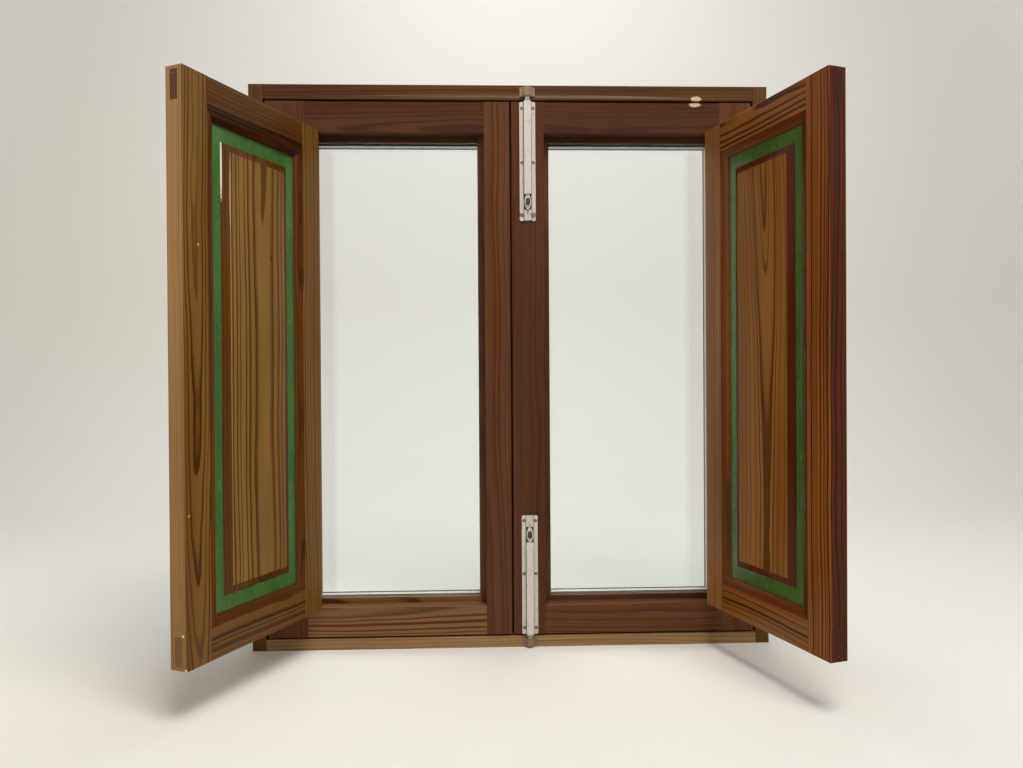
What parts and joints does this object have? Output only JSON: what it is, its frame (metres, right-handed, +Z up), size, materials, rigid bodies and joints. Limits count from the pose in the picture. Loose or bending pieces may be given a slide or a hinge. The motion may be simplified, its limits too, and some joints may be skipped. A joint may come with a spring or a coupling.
{
  "type": "window shutters",
  "caption": "Small pine casement window that opens into the room, with a raised panel shutter hung in the rebate of each sash and surface bolts on one meeting stile.",
  "frame": {"origin": "underside of the sill, at the middle of the frame's width and depth", "axes": "+X to the right seen from the room, +Y out of doors, +Z up"},
  "size_m": [0.9055, 0.3841, 0.955],
  "materials": {
    "frame_pine": "aged pine under clear varnish",
    "sash_pine": "aged pine under clear varnish",
    "shutter_pine": "aged pine under clear varnish",
    "panel_pine": "varnished pine with a green painted border",
    "pane": "clear",
    "spacer_bar": "mill finish",
    "hinges": "dull bronze",
    "screws": "dulled",
    "bolt_white": "worn off-white gloss",
    "bolt_black": "semi gloss black",
    "bolt_steel": "dull"
  },
  "bodies": {
    "frame": {"bolt_bottom_guide": "bolt_black", "bolt_bottom_keeper": "bolt_white", "bolt_bottom_plate": "bolt_white", "bolt_screws": "screws", "bolt_top_guide": "bolt_black", "bolt_top_keeper": "bolt_white", "bolt_top_plate": "bolt_white", "frame_head": "frame_pine", "frame_hinge_pins_left": "hinges", "frame_hinge_pins_right": "hinges", "frame_hinge_plates_left": "hinges", "frame_hinge_plates_right": "hinges", "frame_hinge_screws": "screws", "frame_jamb_left": "frame_pine", "frame_jamb_right": "frame_pine", "frame_sill": "frame_pine", "sash_right_beads": "sash_pine", "sash_right_bottom_rail": "sash_pine", "sash_right_drip_mould": "sash_pine", "sash_right_glass": "pane", "sash_right_hinge_plates": "hinges", "sash_right_hinge_screws": "screws", "sash_right_hinge_stile": "sash_pine", "sash_right_meeting_stile": "sash_pine", "sash_right_shutter_hinge_pins": "hinges", "sash_right_shutter_hinge_plates": "hinges", "sash_right_spacer": "spacer_bar", "sash_right_top_rail": "sash_pine"},
    "left_sash": {"sash_left_beads": "sash_pine", "sash_left_bottom_rail": "sash_pine", "sash_left_drip_mould": "sash_pine", "sash_left_glass": "pane", "sash_left_hinge_plates": "hinges", "sash_left_hinge_screws": "screws", "sash_left_hinge_stile": "sash_pine", "sash_left_meeting_stile": "sash_pine", "sash_left_shutter_hinge_pins": "hinges", "sash_left_shutter_hinge_plates": "hinges", "sash_left_spacer": "spacer_bar", "sash_left_top_rail": "sash_pine"},
    "left_shutter": {"shutter_left_bottom_rail": "shutter_pine", "shutter_left_free_stile": "shutter_pine", "shutter_left_hinge_plates": "hinges", "shutter_left_hinge_screws": "screws", "shutter_left_hinge_stile": "shutter_pine", "shutter_left_panel": "panel_pine", "shutter_left_top_rail": "shutter_pine"},
    "right_shutter": {"shutter_right_bottom_rail": "shutter_pine", "shutter_right_free_stile": "shutter_pine", "shutter_right_hinge_plates": "hinges", "shutter_right_hinge_screws": "screws", "shutter_right_hinge_stile": "shutter_pine", "shutter_right_panel": "panel_pine", "shutter_right_top_rail": "shutter_pine"},
    "top_bolt": {"bolt_top_grip": "bolt_white", "bolt_top_rod": "bolt_steel", "bolt_top_thumb": "bolt_black"},
    "bottom_bolt": {"bolt_bottom_grip": "bolt_white", "bolt_bottom_rod": "bolt_steel", "bolt_bottom_thumb": "bolt_black"}
  },
  "joints": [
    {"name": "left_sash_hinge", "type": "hinge", "parent": "frame", "child": "left_sash", "pos_m": [-0.4145, -0.05, 0.4745], "axis": [0, 0, -1], "range_deg": [0, 90]},
    {"name": "left_shutter_hinge", "type": "hinge", "parent": "left_sash", "child": "left_shutter", "pos_m": [-0.344, -0.049, 0.473], "axis": [0, 0, -1], "range_deg": [-114, 36]},
    {"name": "right_shutter_hinge", "type": "hinge", "parent": "frame", "child": "right_shutter", "pos_m": [0.3553, -0.049, 0.473], "axis": [0, 0, 1], "range_deg": [-107, 43]},
    {"name": "top_bolt_slide", "type": "slide", "parent": "frame", "child": "top_bolt", "axis": [0, 0, -1], "range_m": [0, 0.017]},
    {"name": "bottom_bolt_slide", "type": "slide", "parent": "frame", "child": "bottom_bolt", "axis": [0, 0, 1], "range_m": [0, 0.017]}
  ]
}
